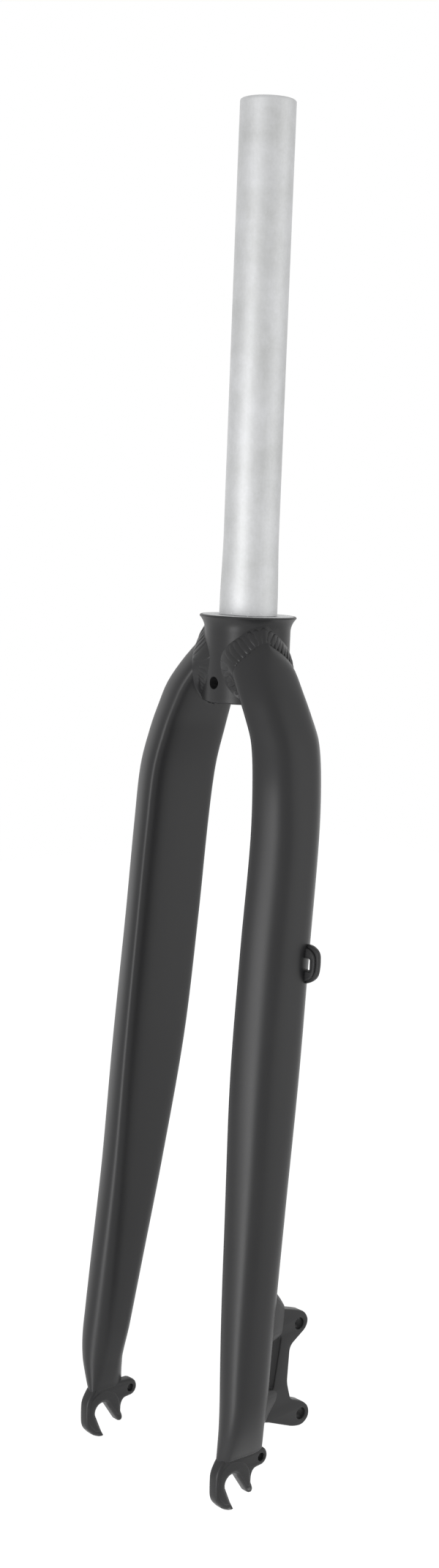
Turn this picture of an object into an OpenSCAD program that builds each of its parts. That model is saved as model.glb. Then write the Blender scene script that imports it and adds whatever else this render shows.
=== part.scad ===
// Rigid fork for a 28 inch wheel with a disc brake.
// The origin is the centre of the crown's top face, where the headset race sits, on the steerer axis.
// +Z runs up the steerer, +X is the rider's left, and the fork's front faces -Y.

/* [Steerer] */
// Length of the steerer above the crown
steerer_len = 258.5; // [150:0.5:320]
// Outer diameter of the steerer
steerer_d = 28.6; // [28:0.1:29]
// Bore of the steerer, for the star nut
steerer_bore_d = 22.8; // [20:0.1:24]
// Diameter of the seat for the crown race
race_seat_d = 30.1; // [29.6:0.1:31]
// Height of the seat for the crown race
race_seat_h = 5; // [3:0.5:8]
// Diameter of the steerer's foot, which is pressed into the crown
press_d = 29.4; // [28.8:0.1:29.9]
// Length over which the steerer swells to the race seat
swell_len = 36; // [20:1:60]
// Chamfer at the steerer's top rim
rim_chamfer = 0.8; // [0.3:0.1:1.2]

/* [Crown] */
// Height of the crown tube
crown_h = 45; // [40:0.5:52]
// Outer diameter of the crown tube
crown_d = 44.6; // [42:0.2:47]
// Outer diameter of the flared shoulder
shoulder_d = 50.4; // [49:0.2:54]
// Radius of the flare under the shoulder
flare_r = 10; // [8:0.5:13]
// Height of the shoulder's upright edge
shoulder_edge = 1; // [0.6:0.1:1.6]
// Height of the lip that the steerer's foot stands on inside the crown
foot_lip = 5; // [3:0.5:7]
// Diameter of the opening inside the lip
lip_d = 25; // [22:0.5:27]
// Diameter of the cross hole for a mudguard or lamp bolt
cross_hole_d = 6.5; // [5:0.1:7]
// Height of the cross hole above the crown's lower edge
cross_hole_rise = 10.3; // [9:0.1:15]

/* [Legs] */
// Distance from the crown's top face down to the leg's lower end
leg_drop = 414; // [380:1:440]
// Distance from the fork's middle plane to the leg's inner face at its lower end
leg_inset = 48; // [45:0.5:52]
// Distance that the leg's front edge lies ahead of the steerer axis at its lower end
leg_lead = 48; // [44:0.5:54]
// Greatest depth of the leg from front to rear, before its corners are rounded
leg_depth = 54; // [50:0.5:58]
// Width of the leg from its inner face to its outer face
leg_w = 23.5; // [21:0.5:26]
// Distance that the nose of the leg sweeps back towards its outer face
nose_sweep = 10; // [7:0.5:13]
// Distance that the tail of the leg sweeps forward towards its outer face
tail_sweep = 21; // [17:0.5:24]
// Height by which the leg's inner face bulges between its corners
face_crown = 0.4; // [0.1:0.1:1]
// Wall thickness of the leg
leg_wall = 2; // [1.4:0.1:2.6]

/* [Dropouts] */
// Distance between the inner faces of the two dropouts, the hub's width
hub_w = 100; // [98:0.5:110]
// Thickness of the dropout
dropout_t = 7.2; // [6:0.1:8]
// Distance of the wheel axle ahead of the steerer axis
axle_lead = 39.2; // [36:0.1:43]
// Distance from the leg's lower end down to the wheel axle
axle_below = 28; // [25:0.5:33]
// Diameter of the seat for the wheel axle
axle_d = 9.2; // [9:0.1:10]
// Radius of the hook under the axle
hook_r = 15; // [14:0.5:16]
// Diameter of the threaded hole in the mudguard eyelet
eyelet_hole_d = 4.2; // [4:0.1:5]
// Outer diameter of the mudguard eyelet
eyelet_d = 9.8; // [9:0.1:11]
// Length of the dropout's plug inside the leg
plug_len = 9; // [6:0.5:14]
// Play between the plug and the leg's inner wall
plug_play = 0.1; // [0.05:0.05:0.2]

/* [Disc mount] */
// Distance between the two holes for the brake
mount_pitch = 51; // [50:0.5:75]
// Diameter of the holes for the brake
mount_hole_d = 6.2; // [6:0.1:6.6]
// Outer diameter of the lobes around the holes
mount_lobe_d = 12; // [11:0.5:14]
// Thickness of the disc mount
mount_t = 6.5; // [5:0.5:8]
// Distance from the fork's middle plane to the mount's outer face
mount_face = 52; // [50.5:0.5:54]
// Height of the mount's upper hole above the wheel axle
mount_rise = 72.7; // [70:0.1:76]
// Distance of the mount's upper hole behind the wheel axle
mount_behind = 48; // [46:0.1:50]
// Lean of the line through both holes
mount_lean = 4.6; // [3:0.1:6]

/* [Hose guide] */
// Height of the hose guide
guide_h = 21; // [18:0.5:24]
// Distance that the hose guide stands out from the leg
guide_reach = 7.6; // [6:0.2:9]
// Thickness of the hose guide
guide_t = 3.8; // [3:0.1:5]
// Depth of the guide's middle below the crown's top face
guide_drop = 173.5; // [160:0.5:190]

/* [Welds] */
// Width of the weld on the crown
weld_crown_w = 4.6; // [3:0.2:6]
// Width of the weld on the leg
weld_leg_w = 4.4; // [3:0.2:7]
// Height of the weld's crest
weld_h = 1.6; // [1:0.1:2.2]
// Distance from one weld ripple to the next
weld_pitch = 3.2; // [2.6:0.1:4.5]
// Width of the welds around the disc mount's feet
weld_foot_w = 8; // [3:0.2:10]

/* [Hidden] */
$fn = 96;
over = 1;
paint_black = [0.20, 0.20, 0.21];
bare_metal = [0.80, 0.81, 0.82];
weld_black = [0.24, 0.24, 0.25];

cross_hole_drop = crown_h - cross_hole_rise;
axle_drop = leg_drop + axle_below;
mount_drop = axle_drop - mount_rise;
mount_back = mount_behind - axle_lead;
steerer_r = steerer_d / 2;
race_seat_r = race_seat_d / 2;
press_r = press_d / 2;
crown_r = crown_d / 2;
shoulder_r = shoulder_d / 2;

// Stations down the leg. Each row holds the drop as a share of leg_drop, the inner face as a share of
// leg_inset, the front edge of leg_lead, the depth of leg_depth, the width of leg_w, the nose of
// nose_sweep, the tail of tail_sweep, and how much softer the corners are than in the upper leg.
station_shares = [
    [0.00, -0.23, 0.31, 0.59, 1.02, 0.50, 0.80, 1.0],
    [0.03,  0.01, 0.39, 0.72, 1.02, 0.55, 1.10, 1.0],
    [0.06,  0.18, 0.53, 0.81, 1.02, 0.65, 0.62, 1.0],
    [0.09,  0.37, 0.59, 0.88, 1.00, 0.70, 0.70, 1.0],
    [0.12,  0.52, 0.60, 0.94, 0.98, 0.75, 0.85, 1.0],
    [0.15,  0.64, 0.61, 0.98, 0.98, 0.80, 0.95, 1.0],
    [0.20,  0.74, 0.66, 1.00, 0.98, 0.85, 1.00, 1.0],
    [0.27,  0.78, 0.70, 1.00, 1.00, 0.95, 1.00, 1.0],
    [0.40,  0.79, 0.79, 1.00, 1.00, 1.00, 0.95, 1.0],
    [0.56,  0.81, 0.88, 0.96, 1.00, 0.90, 0.83, 1.0],
    [0.73,  0.86, 0.93, 0.81, 0.96, 0.70, 0.62, 1.1],
    [0.87,  0.92, 0.99, 0.70, 0.90, 0.50, 0.43, 1.3],
    [1.00,  1.00, 1.03, 0.59, 0.80, 0.30, 0.24, 1.5]];
// Size that each column of the stations is a share of
station_sizes = [leg_drop, leg_inset, leg_lead, leg_depth, leg_w, nose_sweep, tail_sweep, 1];
// Distance from each corner at which its rounding starts, as shares of the leg's width there:
// nose inner, nose outer, tail outer, tail inner
corner_shares = [0.255, 0.19, 0.21, 0.34];
last_station = len(station_shares) - 1;

// Value of column c at station i
function at(i, c) = station_shares[i][c] * station_sizes[c];
// Slope of column c at station i, taken from its two neighbours
function lean(i, c) =
    let (a = max(i - 1, 0), b = min(i + 1, last_station)) (at(b, c) - at(a, c)) / (at(b, 0) - at(a, 0));
// Number of the last station that is not below the given drop
function above(drop) =
    max([for (i = [0 : last_station - 1]) if (i == 0 || at(i, 0) <= drop) i]);
// Column c at any drop, by a smooth curve through the stations
function along(drop, c) =
    let (i = above(drop), h = at(i + 1, 0) - at(i, 0), t = (drop - at(i, 0)) / h)
    (1 - t) * (1 - t) * ((1 + 2 * t) * at(i, c) + t * h * lean(i, c))
    + t * t * ((3 - 2 * t) * at(i + 1, c) + (t - 1) * h * lean(i + 1, c));

function unit(v) = v / norm(v);
// The four sharp corners of the leg's section: nose inner, nose outer, tail outer, tail inner
function corners(drop) =
    let (x = along(drop, 1), y = -along(drop, 2), d = along(drop, 3), w = along(drop, 4))
    [[x, y], [x + w, y + along(drop, 5)], [x + w, y + d - along(drop, 6)], [x, y + d]];
// The same corners moved inwards by a wall
function inset_corners(p, wall) =
    let (n = len(p))
    [for (i = [0 : n - 1])
        let (a = unit(p[i] - p[(i + n - 1) % n]), b = unit(p[(i + 1) % n] - p[i]))
        p[i] + wall * ([-a.y, a.x] + [-b.y, b.x]) / (1 + a * b)];
// Control points of a section: two beside each corner, and one amid the inner face
function soft_corners(p, soft) =
    concat([for (i = [0 : 3])
        let (c = corner_shares[i] * soft)
        each [p[i] + c * unit(p[(i + 3) % 4] - p[i]), p[i] + c * unit(p[(i + 1) % 4] - p[i])]],
        [(p[0] + p[3]) / 2 - [face_crown, 0]]);
function controls(drop, wall) =
    soft_corners(inset_corners(corners(drop), wall), (along(drop, 4) - wall) * along(drop, 7));
section_arcs = 9;
// Point of the section at u, which runs from 0 to section_arcs around it
function section_point(v, u) =
    let (i = floor(u) % section_arcs, t = u - floor(u),
         before = (v[(i + section_arcs - 1) % section_arcs] + v[i]) / 2,
         after = (v[(i + 1) % section_arcs] + v[i]) / 2)
    (1 - t) * (1 - t) * before + 2 * t * (1 - t) * v[i] + t * t * after;
// Point of the left leg's outer surface
function leg_point(u, drop) =
    let (q = section_point(controls(drop, 0), u)) [q.x, q.y, -drop];

section_steps = 3;
section_sides = section_arcs * section_steps;
function ring_of(v, z) =
    [for (k = [0 : section_sides - 1]) let (q = section_point(v, k / section_steps)) [q.x, q.y, z]];
// One ring of the leg at the given drop and depth inside its surface
function leg_ring(drop, wall) = ring_of(controls(drop, wall), -drop);
// Drops of the leg's rings, two in each space between stations
ring_drops = concat([for (i = [0 : last_station - 1]) each [at(i, 0), (at(i, 0) + at(i + 1, 0)) / 2]], [leg_drop]);

// Faces between ring a and ring b, each with n points, where b follows a with its faces outwards
function band(a, b, n) =
    [for (k = [0 : n - 1]) each [
        [a * n + k, a * n + (k + 1) % n, b * n + (k + 1) % n],
        [a * n + k, b * n + (k + 1) % n, b * n + k]]];
// Solid through a list of rings, with flat ends
module loft(rings) {
    n = len(rings[0]);
    last = len(rings) - 1;
    polyhedron(
        points = [for (r = rings) each r],
        faces = concat(
            [[for (k = [n - 1 : -1 : 0]) k]],
            [for (i = [0 : last - 1]) each band(i, i + 1, n)],
            [[for (k = [0 : n - 1]) last * n + k]]));
}
// Closed solid through a list of rings whose last ring meets the first
module ring_loft(rings) {
    n = len(rings[0]);
    m = len(rings);
    polyhedron(
        points = [for (r = rings) each r],
        faces = [for (i = [0 : m - 1]) each band(i, (i + 1) % m, n)]);
}

module steerer_tube() {
    foot = -(crown_h - foot_lip);
    color(bare_metal)
    difference() {
        rotate_extrude() polygon([
            [steerer_bore_d / 2, foot], [press_r, foot], [press_r, 0], [race_seat_r, 0],
            [race_seat_r, race_seat_h],
            [steerer_r, race_seat_h + swell_len], [steerer_r, steerer_len - rim_chamfer],
            [steerer_r - rim_chamfer, steerer_len], [steerer_bore_d / 2, steerer_len]]);
        cross_hole();
    }
}
module cross_hole() {
    translate([0, 0, -cross_hole_drop]) rotate([90, 0, 0])
        cylinder(d = cross_hole_d, h = shoulder_d + 2 * over, center = true);
}
flare_steps = 8;
module crown_tube() {
    // The flare leaves the tube where its arc stands upright and ends under the shoulder's edge
    flare_x = crown_r + flare_r;
    flare_end = acos((flare_x - shoulder_r) / flare_r);
    flare_low = -shoulder_edge - flare_r * sin(flare_end);
    flare = [for (k = [0 : flare_steps]) let (a = flare_end * k / flare_steps)
        [flare_x - flare_r * cos(a), flare_low + flare_r * sin(a)]];
    color(paint_black)
    difference() {
        rotate_extrude() polygon(concat(
            [[lip_d / 2, -crown_h], [crown_r, -crown_h]], flare,
            [[shoulder_r, -shoulder_edge / 2], [shoulder_r - shoulder_edge / 2, 0], [press_r, 0],
             [press_r, -crown_h + foot_lip], [lip_d / 2, -crown_h + foot_lip]]));
        cross_hole();
    }
}

module leg_solid(from, to) {
    loft([for (d = ring_drops) if (d >= from && d <= to) leg_ring(d, 0)]);
}
module left_leg() {
    rings = concat(
        [for (d = ring_drops) leg_ring(d, 0)],
        [for (i = [len(ring_drops) - 1 : -1 : 0]) leg_ring(ring_drops[i], leg_wall)]);
    difference() {
        ring_loft(rings);
        translate([0, 0, -crown_h]) cylinder(r = crown_r, h = crown_h + over);
    }
}
module left_blade() { color(paint_black) left_leg(); }
module right_blade() { color(paint_black) mirror([1, 0, 0]) left_leg(); }

// Outline of the dropout around the axle, each point with its rounding, as shares of hook_r
dropout_shares = [
    [-0.46, 0.95, 0], [-0.57, 0.62, 1.0], [-0.74, 0.02, 0.6], [-0.69, -0.50, 0.5], [-0.15, -0.97, 0.3],
    [0.04, -0.98, 0.12], [0.20, -0.80, 0], [0.70, -0.75, 0], [0.84, -0.58, 0.12], [0.92, -0.36, 0.2],
    [0.84, -0.02, 0.3], [0.88, 0.22, 0.12], [1.06, 0.27, 0.1], [1.29, 0.27, 0], [1.45, 0.80, 0],
    [1.26, 0.92, 0.08], [1.16, 1.05, 0]];
// Outline with each corner rounded: points are [x, y, radius], and arc_steps sets the arcs' fineness
arc_steps = 4;
function rounded(p) =
    let (n = len(p))
    [for (i = [0 : n - 1])
        let (q = [p[i].x, p[i].y],
             a = unit([p[(i + n - 1) % n].x, p[(i + n - 1) % n].y] - q),
             b = unit([p[(i + 1) % n].x, p[(i + 1) % n].y] - q),
             half = acos(a * b) / 2, cut = p[i].z / tan(half))
        each p[i].z == 0 ? [q] : [for (k = [0 : arc_steps])
            let (t = k / arc_steps)
            (1 - t) * (1 - t) * (q + cut * a) + 2 * t * (1 - t) * q + t * t * (q + cut * b)]];
mouth_front = 24.4;
mouth_rear = 37;
eyelet_shares = [1.29, 0.59];

module dropout_plate() {
    linear_extrude(dropout_t) difference() {
        union() {
            polygon(rounded([for (p = dropout_shares) p * hook_r]));
            translate(eyelet_shares * hook_r) circle(d = eyelet_d);
        }
        circle(d = axle_d);
        axle_mouth();
        translate(eyelet_shares * hook_r) circle(d = eyelet_hole_d);
    }
}
module axle_mouth() {
    r = axle_d / 2;
    reach = 2 * hook_r;
    front = r * [-cos(mouth_front), -sin(mouth_front)];
    rear = r * [cos(mouth_rear), sin(mouth_rear)];
    polygon([rear, front, front + reach * [sin(mouth_front), -cos(mouth_front)],
             rear + reach * [sin(mouth_rear), -cos(mouth_rear)]]);
}
// Front and rear edge of the dropout where the leg's end meets it, as shares of hook_r from the axle
neck_shares = [-0.60, 1.12];
// Height above the axle at which the leg's closed end stops, as a share of hook_r
neck_rise_share = 0.6;
cap_h = axle_below - neck_rise_share * hook_r;
// Depth at which the closed end lies inside the dropout's faces
neck_sink = 0.3;
cap_steps = 6;
// The leg's end closes in an S-shaped curve, and its plug stands inside the leg
module leg_end() {
    inner = hub_w / 2 + neck_sink;
    outer = hub_w / 2 + dropout_t - neck_sink;
    front = -axle_lead + neck_shares[0] * hook_r;
    rear = -axle_lead + neck_shares[1] * hook_r;
    wide = controls(leg_drop, 0);
    thin = soft_corners([[inner, front], [outer, front], [outer, rear], [inner, rear]], dropout_t);
    inset = leg_wall + plug_play;
    loft(concat(
        [leg_ring(leg_drop - plug_len, inset), leg_ring(leg_drop, inset)],
        [for (k = [0 : cap_steps])
            let (t = k / cap_steps, e = pow(t, 1.4), s = e * e * (3 - 2 * e))
            ring_of([for (i = [0 : section_arcs - 1]) (1 - s) * wide[i] + s * thin[i]],
                -leg_drop - t * cap_h)]));
}
module left_end() {
    translate([hub_w / 2, -axle_lead, -axle_drop]) rotate([90, 0, 90]) dropout_plate();
    leg_end();
}
module left_dropout() { color(paint_black) left_end(); }
module right_dropout() { color(paint_black) mirror([1, 0, 0]) left_end(); }

// Outline of the disc mount from its upper hole, each point with its rounding, as shares of
// mount_pitch: top edge, upper lobe, neck, lower lobe, foot, and the window beside the leg
mount_shares = [
    [-0.62, 0.45, 0], [-0.43, 0.44, 0.04], [-0.25, 0.235, 0.12], [0.063, 0.13, 0.1], [0.13, 0.0, 0.07], [0.085, -0.085, 0.06],
    [-0.12, -0.22, 0.12], [-0.135, -0.60, 0.3], [-0.075, -0.80, 0.1], [0.15, -0.88, 0.12],
    [0.203, -1.02, 0.07], [0.15, -1.13, 0.07], [-0.02, -1.10, 0.2], [-0.37, -0.978, 0.2], [-0.66, -0.90, 0],
    [-0.66, -0.62, 0], [-0.335, -0.64, 0.04], [-0.225, -0.07, 0.05], [-0.62, -0.06, 0]];
// Heights of each foot from the upper hole, on the leg and at the weld's toe on the mount, as shares
// of mount_pitch
upper_foot_shares = [[0.42, -0.06], [0.26, -0.08]];
lower_foot_shares = [[-0.63, -0.94], [-0.64, -0.975]];

module disc_mount() {
    color(paint_black)
    difference() {
        translate([mount_face - mount_t, mount_back, -mount_drop]) rotate([90, 0, 90])
            linear_extrude(mount_t) difference() {
                polygon(rounded([for (p = mount_shares) p * mount_pitch]));
                circle(d = mount_hole_d);
                rotate(mount_lean) translate([0, -mount_pitch]) circle(d = mount_hole_d);
            }
        leg_solid(mount_drop - mount_pitch, leg_drop);
    }
}

// Outline of the hose guide from the leg's corner, as shares of guide_h
guide_shares = [
    [-0.16, 0.48, 0], [0.08, 0.53, 0.2], [0.362, 0.33, 0.24], [0.362, -0.24, 0.24], [-0.05, -0.46, 0.05],
    [-0.16, -0.42, 0]];
guide_window_shares = [[0.0, 0.2, 0.05], [0.16, 0.2, 0.05], [0.16, -0.12, 0.05], [0.0, -0.12, 0.05]];
guide_turn = 10;

module hose_guide() {
    stretch = guide_reach / (guide_shares[2].x * guide_h);
    color(paint_black)
    difference() {
        translate(leg_point(5, guide_drop)) rotate([0, 0, guide_turn]) rotate([90, 0, 0])
            scale([stretch, 1, 1])
            linear_extrude(guide_t, center = true) difference() {
                polygon(rounded([for (p = guide_shares) p * guide_h]));
                polygon(rounded([for (p = guide_window_shares) p * guide_h]));
            }
        leg_solid(guide_drop - 2 * guide_h, guide_drop + 3 * guide_h);
    }
}

// Outward direction of the leg's section at u
function leg_side(u, drop) =
    let (v = controls(drop, 0), t = section_point(v, u + 0.02) - section_point(v, u + section_arcs - 0.02))
    unit([t.y, -t.x, 0]);
// Drop at which the leg's surface line at u leaves the crown tube
function joint_drop(u, low, high, tries) =
    let (mid = (low + high) / 2, p = leg_point(u, mid))
    tries == 0 ? mid
    : norm([p.x, p.y]) < crown_r ? joint_drop(u, mid, high, tries - 1) : joint_drop(u, low, mid, tries - 1);
joint_steps = 90;
joint_tries = 14;
// Points of the joint between crown and leg, evenly spaced in u
function joint_us() = [for (k = [0 : joint_steps]) k * section_arcs / joint_steps];
function joint_line(us) = [for (u = us) let (d = joint_drop(u, 0, crown_h + leg_w, joint_tries)) [u, d]];
function run_lengths(p, i = 0, sum = 0) =
    i == len(p) ? []
    : let (s = i == 0 ? 0 : sum + norm(p[i] - p[i - 1])) concat([s], run_lengths(p, i + 1, s));
// Height and width of the weld along one ripple, as shares of its crest
ripple_shares = [1, 0.88, 0.74];
toe_shares = [1, 0.97, 0.93];
weld_crest = 2;

// The weld between the crown and the left leg, as a chain of ripples around the joint
module crown_weld() {
    line = joint_line(joint_us());
    points = [for (q = line) leg_point(q[0], q[1])];
    runs = run_lengths(points);
    ripples = round(runs[joint_steps] / weld_pitch);
    per = len(ripple_shares);
    m = ripples * per;
    us = [for (k = [0 : m - 1])
        lookup(k * runs[joint_steps] / m, [for (i = [0 : joint_steps]) [runs[i], line[i][0]]])];
    exact = joint_line(us);
    flat = [for (q = exact) let (p = leg_point(q[0], q[1])) [crown_r * atan2(p.y, p.x) * PI / 180, p.z]];
    ring_loft([for (k = [0 : m - 1])
        let (q = exact[k], p = leg_point(q[0], q[1]), share = ripple_shares[k % per], wide = toe_shares[k % per],
             t = unit(flat[(k + 1) % m] - flat[(k + m - 1) % m]),
             toe = flat[k] + weld_crown_w * wide * [-t.y, t.x],
             a = toe.x / crown_r * 180 / PI,
             crown_toe = [crown_r * cos(a), crown_r * sin(a), max(toe.y, -crown_h + weld_h / 4)],
             leg_toe = leg_point(q[0], q[1] + weld_leg_w * wide),
             out = unit(unit([p.x, p.y, 0]) + leg_side(q[0], q[1])),
             top = p + weld_crest * weld_h * share * out)
        concat([for (s = [0, 0.25, 0.5, 0.75, 1])
            (1 - s) * (1 - s) * leg_toe + 2 * s * (1 - s) * top + s * s * crown_toe], [p])]);
}
module left_crown_weld() { color(weld_black) crown_weld(); }
module right_crown_weld() { color(weld_black) mirror([1, 0, 0]) crown_weld(); }

// Place around the leg, at one drop, where its rear face has the given x
function rear_u(x, drop, low = 5.6, high = 7.9, tries = 12) =
    let (mid = (low + high) / 2)
    tries == 0 ? mid
    : leg_point(mid, drop).x > x ? rear_u(x, drop, mid, high, tries - 1) : rear_u(x, drop, low, mid, tries - 1);
function rear_point(x, drop) = leg_point(rear_u(x, drop), drop);
foot_steps = 28;
// The fillet weld around one foot of the disc mount
module foot_weld(shares) {
    span = [for (s = shares) -mount_drop * [1, 1] + s * mount_pitch];
    mid = [mount_face - mount_t / 2, (span[0][0] + span[0][1]) / 2];
    half = [mount_t / 2, (span[0][0] - span[0][1]) / 2];
    squeeze = (span[1][0] - span[1][1]) / (span[0][0] - span[0][1]);
    difference() {
        ring_loft([for (k = [0 : foot_steps - 1])
            let (a = -k * 360 / foot_steps, c = cos(a), s = sin(a),
                 // Place on the foot's outline and on the weld's toe beyond it
                 edge = mid + [half.x * sign(c) * pow(abs(c), 0.35), half.y * sign(s) * pow(abs(s), 0.35)],
                 grown = half + weld_foot_w / 2 * [1, 1],
                 toe = mid + [grown.x * sign(c) * pow(abs(c), 0.5), grown.y * sign(s) * pow(abs(s), 0.5)],
                 root = rear_point(edge.x, -edge.y), leg_toe = rear_point(toe.x, -toe.y),
                 mount_toe = [edge.x, root.y + weld_foot_w, span[1][1] + (edge.y - span[0][1]) * squeeze],
                 rise = weld_h * ripple_shares[k % 2],
                 middle = (leg_toe + mount_toe) / 2 + rise / 4 * unit(leg_toe - root + mount_toe - root))
            [leg_toe, middle, mount_toe, root]]);
        leg_solid(mount_drop - mount_pitch, leg_drop);
    }
}
module upper_mount_weld() { color(weld_black) foot_weld(upper_foot_shares); }
module lower_mount_weld() { color(weld_black) foot_weld(lower_foot_shares); }

steerer_tube();
crown_tube();
left_blade();
right_blade();
left_dropout();
right_dropout();
disc_mount();
hose_guide();
left_crown_weld();
right_crown_weld();
upper_mount_weld();
lower_mount_weld();
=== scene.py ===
import math
import bmesh
import bpy
import numpy as np
from mathutils import Matrix, Vector
from mathutils.geometry import tessellate_polygon


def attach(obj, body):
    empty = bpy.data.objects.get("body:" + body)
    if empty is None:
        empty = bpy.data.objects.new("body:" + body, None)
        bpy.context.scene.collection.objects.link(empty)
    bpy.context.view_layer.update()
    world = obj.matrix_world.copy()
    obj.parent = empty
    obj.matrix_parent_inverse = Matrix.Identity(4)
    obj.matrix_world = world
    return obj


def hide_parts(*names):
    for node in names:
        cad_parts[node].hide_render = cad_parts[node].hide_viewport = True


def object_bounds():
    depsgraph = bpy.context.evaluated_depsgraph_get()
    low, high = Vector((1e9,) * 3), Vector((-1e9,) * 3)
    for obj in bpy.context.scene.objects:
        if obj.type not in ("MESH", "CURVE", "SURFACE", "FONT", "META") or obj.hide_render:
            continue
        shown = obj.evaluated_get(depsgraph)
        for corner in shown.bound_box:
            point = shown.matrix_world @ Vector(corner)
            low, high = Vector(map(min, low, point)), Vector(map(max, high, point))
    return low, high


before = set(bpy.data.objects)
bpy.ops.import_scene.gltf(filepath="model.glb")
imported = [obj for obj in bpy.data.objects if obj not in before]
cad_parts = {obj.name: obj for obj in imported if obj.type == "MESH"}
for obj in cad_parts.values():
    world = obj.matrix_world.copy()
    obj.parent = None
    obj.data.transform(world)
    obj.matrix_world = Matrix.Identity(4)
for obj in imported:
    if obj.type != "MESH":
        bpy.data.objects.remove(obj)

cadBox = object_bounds()
mm = 0.001
print("fork: frame loaded,", len(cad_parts), "nodes")


# Node trees
class Wire:  # one output of a node, ready for sums
    def __init__(self, recipe, socket):
        self.recipe = recipe
        self.socket = socket

    def work(self, kind, left, right):
        return self.recipe.node("ShaderNodeMath", {"operation": kind}, {0: left, 1: right})

    def pick(self, name):
        return Wire(self.recipe, self.socket.node.outputs[name])

    def __add__(self, other):
        return self.work("ADD", self, other)

    def __radd__(self, other):
        return self.work("ADD", other, self)

    def __sub__(self, other):
        return self.work("SUBTRACT", self, other)

    def __rsub__(self, other):
        return self.work("SUBTRACT", other, self)

    def __mul__(self, other):
        return self.work("MULTIPLY", self, other)

    def __rmul__(self, other):
        return self.work("MULTIPLY", other, self)


class Recipe:  # builds one node tree
    def __init__(self, tree):
        self.tree = tree
        self.tree.nodes.clear()

    def node(self, kind, settings=None, values=None, output=0):
        made = self.tree.nodes.new(kind)
        for key, value in (settings or {}).items():
            setattr(made, key, value)
        for key, value in (values or {}).items():
            if isinstance(value, Wire):
                self.tree.links.new(value.socket, made.inputs[key])
            else:
                made.inputs[key].default_value = value
        return Wire(self, made.outputs[output] if len(made.outputs) else None)

    def noise(self, place, scale, detail, roughness=0.5):
        return self.node("ShaderNodeTexNoise", {}, {
            "Vector": place, "Scale": scale, "Detail": detail, "Roughness": roughness})

    def blend(self, share, plain, other):  # plain at 0, other at 1
        return self.node("ShaderNodeMix", {"data_type": "RGBA"}, {"Factor": share, 6: plain, 7: other}, 2)

    def ramp(self, value, start, end):  # 0 at the start, 1 at the end
        return self.node("ShaderNodeMapRange", {}, {"Value": value, "From Min": start, "From Max": end})


def newMaterial(name):
    material = bpy.data.materials.new(name)
    material.use_nodes = True
    return material, Recipe(material.node_tree)


# Finishes
paintFinish = {
    "colour": (0.021, 0.021, 0.022, 1), "worn": (0.027, 0.027, 0.028, 1),
    "cloudScale": 24.0, "cloudDetail": 3.0, "cloudRoughness": 0.55,
    "roughness": 0.38, "roughnessSpread": 0.05, "grainSpread": 0.04, "specular": 0.29,
    "grainSize": 1.1 * mm, "grainDetail": 2.0, "grainHeight": 0.010 * mm, "bump": 0.35,
    "overWeldRoughness": 0.34, "overWeldGrainHeight": 0.03 * mm,
    # painted glints on the left dropout's tips: their colour, edge noise and core
    "glintColour": (0.14, 0.14, 0.14, 1), "glintEdgeScale": 900.0, "glintEdgeReach": 1.6, "glintCore": 0.55,
    "glintSpots": [  # painted glints, lighter spots where light catches the left dropout's tips: place and reach
        ((57.4 * mm, -41.2 * mm, -455.6 * mm), 1.5 * mm), ((57.4 * mm, -27.6 * mm, -448.6 * mm), 1.3 * mm)],
}


def satinPaint(name, roughness, grainHeight, glintSpots=()):
    f = paintFinish
    material, recipe = newMaterial(name)
    place = recipe.node("ShaderNodeTexCoord", output="Object")
    cloud = recipe.noise(place, f["cloudScale"], f["cloudDetail"], f["cloudRoughness"])
    grain = recipe.noise(place, 1 / f["grainSize"], f["grainDetail"])
    colour = recipe.blend(cloud, f["colour"], f["worn"])
    if glintSpots:
        glintEdge = recipe.noise(place, f["glintEdgeScale"], f["grainDetail"])
    # each painted glint lightens the paint towards the glint colour round its spot
    for spot, reach in glintSpots:
        gap = recipe.node("ShaderNodeVectorMath", {"operation": "DISTANCE"}, {0: place, 1: spot}, "Value")
        glintShare = recipe.ramp(gap + (glintEdge - 0.5) * (reach * f["glintEdgeReach"]), reach, reach * f["glintCore"])
        colour = recipe.blend(glintShare, colour, f["glintColour"])
    bump = recipe.node("ShaderNodeBump", {}, {"Strength": f["bump"], "Distance": grainHeight, "Height": grain})
    rough = roughness + (cloud - 0.5) * f["roughnessSpread"] + (grain - 0.5) * f["grainSpread"]
    shader = recipe.node("ShaderNodeBsdfPrincipled", {}, {
        "Base Color": colour, "Roughness": rough, "Normal": bump,
        "Specular IOR Level": f["specular"], "Metallic": 0.0})
    recipe.node("ShaderNodeOutputMaterial", {}, {"Surface": shader})
    return material


metalFinish = {
    "pale": (0.60, 0.605, 0.615, 1), "dull": (0.50, 0.505, 0.505, 1), "toneSpan": (0.36, 0.64),
    "cloudScale": 55.0, "cloudDetail": 4.0, "cloudRoughness": 0.6, "cloudShare": 0.74,
    "streakScale": (900.0, 900.0, 60.0), "streakDetail": 2.0, "streakShare": 0.08,
    "speckScale": 700.0, "speckDetail": 2.0, "speckShare": 0.18,
    "scuff": (0.90, 0.90, 0.89, 1), "scuffTop": 10 * mm, "scuffLow": 2 * mm, "scuffSpan": (0.60, 0.66),
    "scratchScale": 320.0, "scratchDetail": 3.0, "scratchRoughness": 0.7,
    "roughness": 0.60, "roughnessSpread": 0.14, "bump": 0.3, "bumpHeight": 0.02 * mm,
}


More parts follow.
